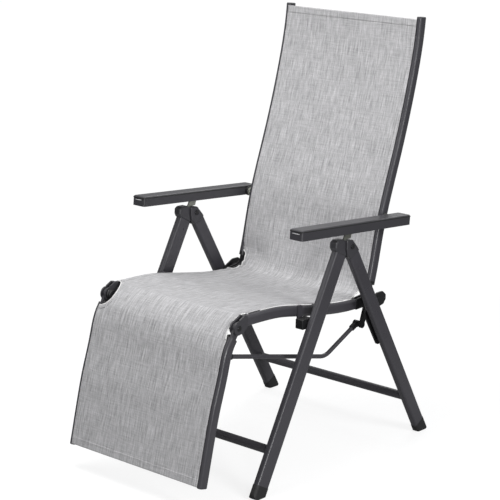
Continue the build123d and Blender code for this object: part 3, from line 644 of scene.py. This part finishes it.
JOINT_HEX, PIN_HEX = 0.0038, 0.0036
for side, word in SIDES:
    hex_recess_shade(f"recess_leg_joint_{word}", (side * 0.2945, 0.0685, 0.612), side, JOINT_HEX, "frame")
    hex_recess_shade(f"recess_leg_joint_inner_{word}", (side * 0.2655, 0.0685, 0.612), -side, JOINT_HEX, "frame")
    hex_recess_shade(f"recess_knee_{word}", (side * 0.2427, *KNEE), side, PIN_HEX, "frame")
    hex_recess_shade(f"recess_plate_low_{word}", (side * 0.2600, 0.2355, 0.311), -side, PIN_HEX, "frame")
    hex_recess_shade(f"recess_plate_high_{word}", (side * 0.2600, 0.1975, 0.394), -side, PIN_HEX, "frame")

# Painted shade in the seam under each arm's cover: a dark tube round a rounded rectangle in the arm's own
# directions, out from its hinge
ARM_AT, LATCH_AT = np.array([0.2785, 0.646]), np.array([0.0635, 0.661])
arm_way = (ARM_AT - LATCH_AT) / np.linalg.norm(ARM_AT - LATCH_AT)
arm_up = np.array([-arm_way[1], arm_way[0]])
ARM_FROM, ARM_TO, ARM_HALF, ARM_CORNER = -0.437, 0.037, 0.0217, 0.0062
SEAM_UP, SEAM_RADIUS, SEAM_STEP = 0.0122, 0.0015, 0.02
turn = around(48)
c, s = np.cos(turn), np.sin(turn)
u = np.sign(c) * ((ARM_TO - ARM_FROM) / 2 - ARM_CORNER) + ARM_CORNER * c + (ARM_FROM + ARM_TO) / 2
x = np.sign(s) * (ARM_HALF - ARM_CORNER) + ARM_CORNER * s
outline = np.stack([u, x], axis=1)
loop = []
for a, b in zip(outline, np.roll(outline, -1, axis=0)):
    count = max(1, int(np.linalg.norm(b - a) / SEAM_STEP))
    loop += [a + (b - a) * q / count for q in range(count)]
loop = np.array(loop)
flat = ARM_AT + loop[:, :1] * arm_way + SEAM_UP * arm_up
for side, word in SIDES:
    path = np.stack([side * (LEG_X + loop[:, 1]), flat[:, 0], flat[:, 1]], axis=1)
    piece = dress(tube_mesh(f"arm_seam_shade_{word}", path, SEAM_RADIUS, 8, closed=True), PAINTED_SHADE)
    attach(piece, f"arm_{word}")


def turned(name, at, profile, side, body, look, count=48):
    """A turned piece on an axis along x: rings of the profile's (x, radius) pairs, closed by flat ends."""
    a = around(count)
    rings = [np.stack([np.full(count, side * x), at[0] + r * np.cos(a), at[1] + r * np.sin(a)], axis=1)
             for x, r in profile]
    faces = []
    for i in range(len(profile) - 1):
        here, ahead = i * count, (i + 1) * count
        for j in range(count):
            k = (j + 1) % count
            faces.append([here + j, here + k, ahead + k, ahead + j])
    faces += [list(range(count))[::-1], [(len(profile) - 1) * count + j for j in range(count)]]
    if side < 0:
        faces = [f[::-1] for f in faces]
    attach(dress(add_mesh(name, np.concatenate(rings), faces), look), body)


# The barrels at the knee: (x, radius) pairs from the inner end to the outer, squeezed to clear the cloth
BARREL = [(0.2104, 0.0090), (0.2106, 0.0105), (0.2114, 0.0118), (0.2126, 0.0124), (0.2160, 0.0124),
          (0.2164, 0.0118), (0.2172, 0.0118), (0.2176, 0.0136), (0.2186, 0.0142), (0.2228, 0.0142)]
BARREL_FROM, BARREL_TO = (0.2104, 0.2186), 0.2228
FOOT_BARREL, FOOT_SHARE = (-0.3435, 0.4330), 0.72
SLIT_HALF, SLIT_UP, SLIT_HIGH, SLIT_DEEP, SLIT_GAP = 0.0130, 0.0064, 0.0008, 0.0007, 0.0001
for side, word in SIDES:
    share = (BARREL_TO - BARREL_FROM[side > 0]) / (BARREL_TO - BARREL[0][0])
    profile = [(BARREL_TO - (BARREL_TO - x) * share, r) for x, r in BARREL]
    turned(f"knee_barrel_{word}", KNEE, profile, side, "frame", BLACK)
    small = [(x, r * FOOT_SHARE) for x, r in profile]
    turned(f"footrest_barrel_{word}", FOOT_BARREL, small, side, "footrest", BLACK)
    # Bright slit across the arm's front end, a painted highlight: a low lens from two half cosines
    a, b = np.meshgrid(np.linspace(-1, 1, 25), np.linspace(-1, 1, 7), indexing="ij")
    out = ARM_FROM - SLIT_GAP - SLIT_DEEP * np.cos(a * math.pi / 2) * np.cos(b * math.pi / 2)
    rise = SLIT_UP + SLIT_HIGH * b * np.sqrt(1 - 0.98 * a ** 2)
    points = np.stack([side * LEG_X + SLIT_HALF * a, ARM_AT[0] + out * arm_way[0] + rise * arm_up[0],
                       ARM_AT[1] + out * arm_way[1] + rise * arm_up[1]], axis=-1)
    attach(dress(add_mesh(f"arm_slit_highlight_{word}", points, grid_faces(25, 7)), SLIT_HIGHLIGHT), f"arm_{word}")

# ---------------------------------------------------------------- floor, light and camera
CAMERA = np.array([2.989888, -3.500841, 1.721026])
YAW, PITCH, ROLL = (math.radians(v) for v in (40.562777, 14.131498, 1.140018))
look = np.array([-math.sin(YAW) * math.cos(PITCH), math.cos(YAW) * math.cos(PITCH), -math.sin(PITCH)])
right = np.array([math.cos(YAW), math.sin(YAW), 0.0])
up = np.cross(right, look)
right, up = math.cos(ROLL) * right + math.sin(ROLL) * up, -math.sin(ROLL) * right + math.cos(ROLL) * up
camera = bpy.data.objects.new("camera", bpy.data.cameras.new("camera"))
SENSOR, FOCAL_PX, PICTURE_PX = 36.0, 1736.546236, 500.0
camera.data.sensor_width = SENSOR
camera.data.lens = FOCAL_PX * SENSOR / PICTURE_PX
camera.data.clip_end = 60.0
turned_camera = np.stack([right, up, -look, CAMERA], axis=1)
camera.matrix_world = Matrix([*turned_camera.tolist(), [0, 0, 0, 1]])
scene.collection.objects.link(camera)
scene.camera = camera

# A pale floor that glows to white away from the object, and lights the object little
FLOOR_NEAR, FLOOR_FAR, GLOW_NEAR, GLOW_FAR, GLOW_UNSEEN = 0.8, 1.9, 0.80, 1.02, 0.12
made, tree, out = material("floor_white")
floor_at = node(tree, "ShaderNodeTexCoord").outputs["Object"]
reach = node(tree, "ShaderNodeVectorMath", {0: floor_at}, operation="LENGTH").outputs["Value"]
away = remap(tree, reach, FLOOR_NEAR, FLOOR_FAR, 0.0, 1.0, interpolation_type="SMOOTHSTEP")
floor_noise = node(tree, "ShaderNodeTexNoise", {"Vector": floor_at, "Scale": 3.0})
floor_tone = mix_color(tree, floor_noise.outputs["Fac"], plain(0.26), plain(0.27))
tree.links.new(mix_color(tree, away, floor_tone, plain(0)), out.inputs["Base Color"])
out.inputs["Roughness"].default_value = 0.9
out.inputs["Specular IOR Level"].default_value = 0.0
out.inputs["Emission Color"].default_value = plain(1)
glow = remap(tree, away, 0.0, 1.0, GLOW_NEAR, GLOW_FAR)
seen = node(tree, "ShaderNodeLightPath").outputs["Is Camera Ray"]
strength = math_node(tree, "MULTIPLY", glow, remap(tree, seen, 0.0, 1.0, GLOW_UNSEEN, 1.0))
tree.links.new(strength, out.inputs["Emission Strength"])
FLOOR_HALF, FLOOR_Z = 14, -0.0005
corners = [(x * FLOOR_HALF, y * FLOOR_HALF, FLOOR_Z) for x, y in ((-1, -1), (1, -1), (1, 1), (-1, 1))]
floor = add_mesh("floor", corners, [[0, 1, 2, 3]], smooth=False)
floor.data.materials.append(made)

# White to the camera, and a soft cool grey as light
SKY_TONE, SKY_STRENGTH = (0.86, 0.87, 0.89, 1), 0.40
world = bpy.data.worlds.new("studio")
scene.world = world
world.use_nodes = True
tree = world.node_tree
sky = tree.nodes["Background"]
seen = node(tree, "ShaderNodeLightPath").outputs["Is Camera Ray"]
tree.links.new(mix_color(tree, seen, SKY_TONE, plain(1)), sky.inputs["Color"])
tree.links.new(remap(tree, seen, 0.0, 1.0, SKY_STRENGTH, 1.0), sky.inputs["Strength"])


def lamp(name, place, target, width, power):
    light = bpy.data.lights.new(name, "AREA")
    light.shape, light.size, light.energy = "SQUARE", width, power
    obj = bpy.data.objects.new(name, light)
    obj.location = place
    obj.visible_camera = False
    obj.rotation_mode = "QUATERNION"
    obj.rotation_quaternion = (Vector(target) - Vector(place)).to_track_quat("-Z", "Y")
    scene.collection.objects.link(obj)


lamp("top", (-0.5, -0.6, 3.0), (0, 0.0, 0.5), 1.6, 50)
lamp("key", (-1.2, -2.6, 2.0), (0, 0.1, 0.6), 0.9, 7)
lamp("edge", (2.35, -2.0, 0.9), (0.28, 0, 0.5), 0.45, 26)
lamp("fill", (2.6, -0.2, 1.9), (0.2, 0, 0.6), 0.9, 40)
lamp("rim", (-1.2, 2.8, 2.6), (0, 0.2, 0.7), 1.6, 22)

scene.view_settings.view_transform = "Standard"
scene.view_settings.look = "None"
